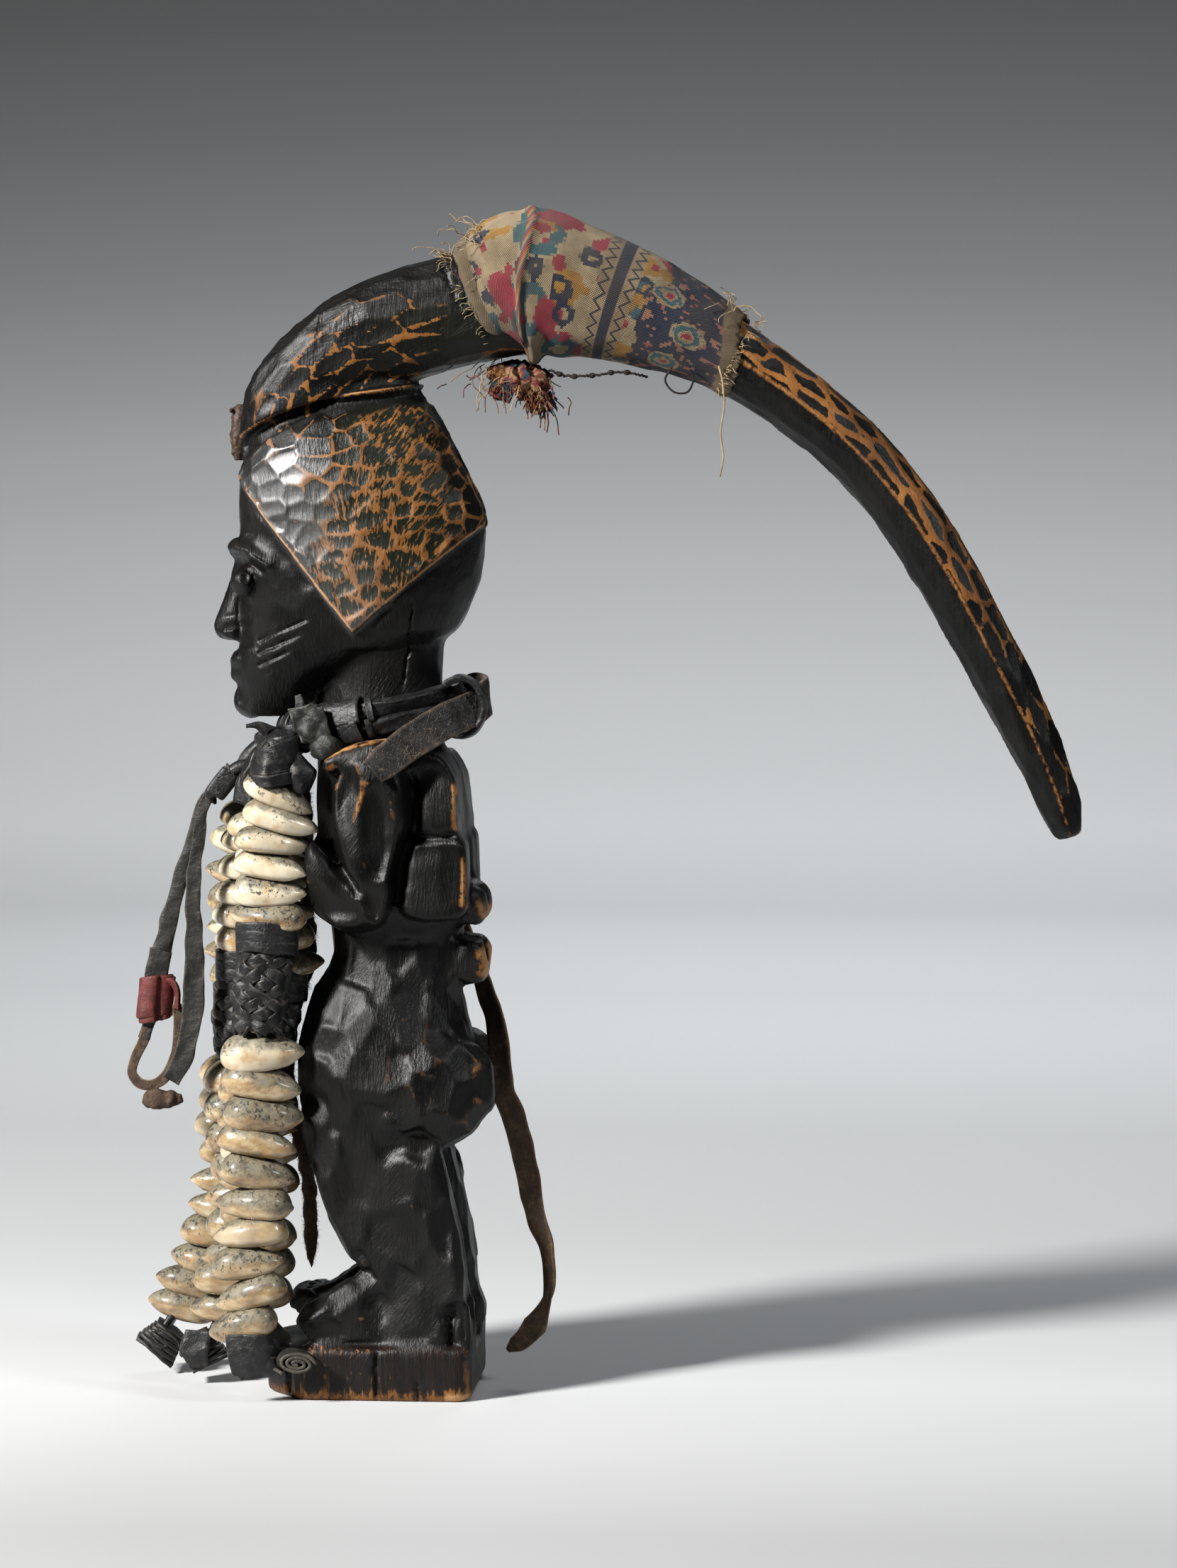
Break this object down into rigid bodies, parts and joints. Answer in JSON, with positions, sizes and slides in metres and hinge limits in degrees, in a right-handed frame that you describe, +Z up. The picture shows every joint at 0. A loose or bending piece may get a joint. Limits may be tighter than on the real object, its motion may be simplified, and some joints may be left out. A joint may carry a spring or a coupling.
{
  "type": "carved eshu figure",
  "caption": "Standing carved wood figure with a long crest arching behind it, a cloth wrap on the crest, and strands of cowries hanging in front.",
  "frame": {"origin": "centre of the base's underside, on the plane it stands on", "axes": "+Z up, the figure faces -Y, its left side is +X"},
  "size_m": [0.0751, 0.2931, 0.3588],
  "materials": {
    "wood": "worn black patina, satin",
    "resin": "crusty, dull",
    "cloth": "printed cotton, matt",
    "rag": "frayed, matt",
    "leather": "dry black leather",
    "old_leather": "cracked brown leather",
    "red_leather": "dull red leather",
    "shell": "worn gloss",
    "wool": "woollen, matt"
  },
  "bodies": {
    "root": {"carved_figure": "wood", "brow_plaque": "resin", "crest_cloth": "cloth", "cloth_knot": "rag", "neck_collar": "leather", "nape_strap": "old_leather", "strand_1_hanger": "leather", "strand_1_upper_cowries": "shell", "strand_1_braid": "leather", "strand_1_lower_cowries": "shell", "strand_1_end_tab": "leather", "strand_2_hanger": "leather", "strand_2_upper_cowries": "shell", "strand_2_braid": "leather", "strand_2_lower_cowries": "shell", "strand_2_end_tab": "leather", "strand_3_hanger": "leather", "strand_3_upper_cowries": "shell", "strand_3_braid": "leather", "strand_3_lower_cowries": "shell", "strand_3_end_tab": "leather", "strand_4_hanger": "leather", "strand_4_upper_cowries": "shell", "strand_4_braid": "leather", "strand_4_lower_cowries": "shell", "strand_4_end_tab": "leather", "thong_top_knot": "leather", "thong_binding": "red_leather", "thong_lower_knot": "old_leather", "front_thong": "leather", "thong_loop": "leather", "thong_return": "leather", "back_strap": "old_leather", "wool_cord": "wool"}
  },
  "joints": []
}
